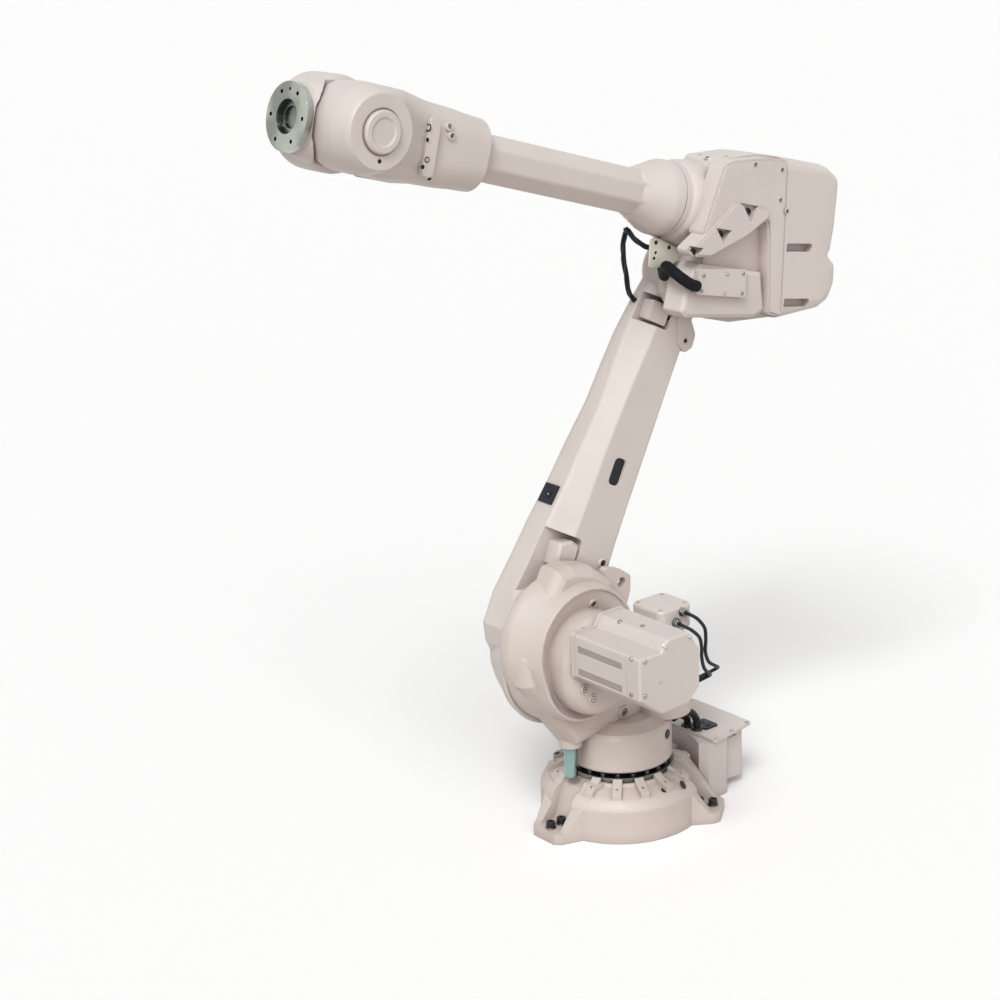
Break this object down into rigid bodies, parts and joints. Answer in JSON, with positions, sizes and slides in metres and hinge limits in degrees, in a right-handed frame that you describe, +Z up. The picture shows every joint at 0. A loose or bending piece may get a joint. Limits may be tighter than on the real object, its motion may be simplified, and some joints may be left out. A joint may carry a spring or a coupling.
{
  "type": "industrial robot arm",
  "caption": "Floor-mounted jointed industrial robot arm with ribbed base, finned shoulder motor, long forearm tube and round tool flange.",
  "frame": {"origin": "on the floor under axis 1, the centre of the round base", "axes": "+X forward in the arm's plane, towards the front foot and the tool flange; +Y to the robot's left, where the shoulder motor stands out; +Z up"},
  "size_m": [1.7053, 0.6508, 2.1246],
  "materials": {
    "paint": "cast iron in warm off-white machine paint, satin, with a fine cast texture",
    "light_paint": "cast aluminium in the same warm off-white machine paint, satin",
    "bracket": "folded plate with a pale cream finish",
    "steel": "machined and plated steel",
    "black_plastic": "black moulded plastic",
    "black_rubber": "black cable hose and rubber"
  },
  "bodies": {
    "base": {"base_casting": "paint", "bearing_ring": "steel", "connector_box": "light_paint", "box_lid": "light_paint", "box_cover": "light_paint", "lid_plate": "black_plastic", "cover_knob": "black_plastic", "supply_hoses": "black_rubber"},
    "frame": {"frame_casting": "paint", "stop_pin": "steel", "column_plugs": "black_plastic", "shoulder_motor": "light_paint", "shoulder_motor_cap": "light_paint", "turn_motor": "light_paint", "turn_motor_cap": "light_paint", "turn_motor_gland": "steel", "motor_cables": "black_rubber"},
    "lower_arm": {"lower_arm": "light_paint", "arm_window": "black_plastic", "arm_plate": "black_plastic", "lower_stop": "light_paint", "upper_stop": "light_paint", "stop_pads": "black_rubber", "arm_cables": "black_rubber"},
    "elbow": {"elbow_housing": "light_paint", "elbow_cover": "light_paint", "connection_plate": "light_paint", "hose_bracket": "bracket", "elbow_hose": "black_rubber"},
    "forearm": {"forearm_tube": "light_paint", "wrist_housing": "light_paint", "wrist_cap": "light_paint", "wrist_pad": "light_paint"},
    "wrist_tilt": {"tilt_housing": "light_paint", "tilt_cover": "light_paint"},
    "tool": {"tool_flange": "steel"}
  },
  "joints": [
    {"name": "axis_1", "type": "hinge", "parent": "base", "child": "frame", "pos_m": [0, 0, 0.16], "axis": [0, 0, 1], "range_deg": [-180, 180], "deforming": ["supply_hoses"]},
    {"name": "axis_2", "type": "hinge", "parent": "frame", "child": "lower_arm", "pos_m": [0.175, 0, 0.495], "axis": [0, 1, 0], "range_deg": [-63.1, 136.9]},
    {"name": "axis_3", "type": "hinge", "parent": "lower_arm", "child": "elbow", "pos_m": [-0.32042, 0, 1.47152], "axis": [0, -1, 0], "range_deg": [-65.1, 189.9], "deforming": ["arm_cables"]},
    {"name": "axis_4", "type": "hinge", "parent": "elbow", "child": "forearm", "pos_m": [0.84274, 0, 2.01059], "axis": [0.9562, 0, 0.2927], "range_deg": [-400, 400]},
    {"name": "axis_5", "type": "hinge", "parent": "forearm", "child": "wrist_tilt", "pos_m": [0.84274, 0, 2.01059], "axis": [0, 1, 0], "range_deg": [-127.9, 117.1]},
    {"name": "axis_6", "type": "hinge", "parent": "wrist_tilt", "child": "tool", "pos_m": [0.97365, 0, 2.04357], "axis": [0.9697, 0, 0.2443], "range_deg": [-400, 400]}
  ]
}
